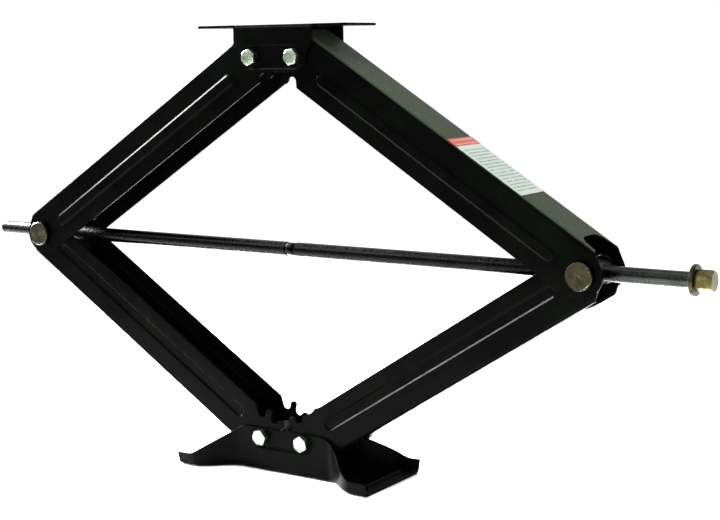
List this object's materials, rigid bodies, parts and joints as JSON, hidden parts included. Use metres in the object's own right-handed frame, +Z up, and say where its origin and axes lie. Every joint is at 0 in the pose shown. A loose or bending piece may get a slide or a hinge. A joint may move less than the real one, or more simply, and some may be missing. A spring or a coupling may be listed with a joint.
{
  "type": "scissor stabilizer jack",
  "caption": "Black four-arm scissor jack: base pan, channel arms, top bracket, long screw with hex drive through trunnion nuts.",
  "frame": {"origin": "centre of the base pan's underside", "axes": "+X along the screw towards its drive hex, +Z up, -Y the side of the bolt heads"},
  "size_m": [0.9411, 0.116, 0.4956],
  "materials": {
    "black_enamel": "gloss black enamel on pressed steel",
    "yellow_zinc": "turned steel, yellow zinc plated",
    "bright_zinc": "bright zinc plated",
    "oiled_steel": "dark oiled rolled thread",
    "grey_steel": "plain steel",
    "label_paper": "printed film label with no lettering"
  },
  "bodies": {
    "base": {"base_pan": "black_enamel", "base_left_pivot_bolt": "bright_zinc", "base_left_bolt_washer": "bright_zinc", "base_left_lock_nut": "bright_zinc", "base_left_spacer_sleeve": "grey_steel", "base_right_pivot_bolt": "bright_zinc", "base_right_bolt_washer": "bright_zinc", "base_right_lock_nut": "bright_zinc", "base_right_spacer_sleeve": "grey_steel"},
    "lower_left": {"lower_left_arm": "black_enamel"},
    "lower_right": {"lower_right_arm": "black_enamel"},
    "upper_left": {"upper_left_arm": "black_enamel"},
    "upper_right": {"upper_right_arm": "black_enamel", "warning_label": "label_paper"},
    "bracket": {"top_bracket": "black_enamel", "top_left_pivot_bolt": "bright_zinc", "top_left_bolt_washer": "bright_zinc", "top_left_lock_nut": "bright_zinc", "top_left_spacer_sleeve": "grey_steel", "top_right_pivot_bolt": "bright_zinc", "top_right_bolt_washer": "bright_zinc", "top_right_lock_nut": "bright_zinc", "top_right_spacer_sleeve": "grey_steel"},
    "left_nut": {"left_trunnion": "yellow_zinc"},
    "right_nut": {"right_trunnion": "yellow_zinc"},
    "washer": {"thrust_washer": "yellow_zinc"},
    "screw": {"drive_screw": "oiled_steel", "drive_hex": "yellow_zinc"}
  },
  "joints": [
    {"name": "lift", "type": "hinge", "parent": "base", "child": "lower_left", "pos_m": [-0.0283, 0, 0.039], "axis": [0, 1, 0], "range_deg": [-28.6, 28.8]},
    {"name": "lower_right_pivot", "type": "hinge", "parent": "base", "child": "lower_right", "pos_m": [0.0283, 0, 0.039], "axis": [0, 1, 0], "range_deg": [-28.8, 28.6]},
    {"name": "upper_left_pivot", "type": "hinge", "parent": "lower_left", "child": "upper_left", "pos_m": [-0.36218, 0, 0.25007], "axis": [0, 1, 0], "range_deg": [-57.6, 57.2]},
    {"name": "upper_right_pivot", "type": "hinge", "parent": "lower_right", "child": "upper_right", "pos_m": [0.36218, 0, 0.25007], "axis": [0, 1, 0], "range_deg": [-57.2, 57.6]},
    {"name": "bracket_pivot", "type": "hinge", "parent": "upper_left", "child": "bracket", "pos_m": [-0.0283, 0, 0.46114], "axis": [0, 1, 0], "range_deg": [-28.6, 28.8]},
    {"name": "left_nut_pivot", "type": "hinge", "parent": "lower_left", "child": "left_nut", "pos_m": [-0.36218, 0, 0.25007], "axis": [0, 1, 0], "range_deg": [-28.8, 28.6]},
    {"name": "right_nut_pivot", "type": "hinge", "parent": "lower_right", "child": "right_nut", "pos_m": [0.36218, 0, 0.25007], "axis": [0, 1, 0], "range_deg": [-28.6, 28.8]},
    {"name": "screw_travel", "type": "slide", "parent": "left_nut", "child": "washer", "axis": [1, 0, 0], "range_m": [-0.1025, 0.102]},
    {"name": "screw_spin", "type": "hinge", "parent": "washer", "child": "screw", "pos_m": [0.4, 0, 0.25007], "axis": [1, 0, 0], "continuous": true}
  ],
  "couplings": [
    {"joint": "lower_right_pivot", "follows": "lift", "ratio": -1},
    {"joint": "upper_left_pivot", "follows": "lift", "ratio": -2},
    {"joint": "upper_right_pivot", "follows": "lift", "ratio": 2},
    {"joint": "bracket_pivot", "follows": "lift", "ratio": 1},
    {"joint": "left_nut_pivot", "follows": "lift", "ratio": -1},
    {"joint": "right_nut_pivot", "follows": "lift", "ratio": 1},
    {"joint": "screw_travel", "follows": "lift", "m_per_rad": -0.2027}
  ]
}
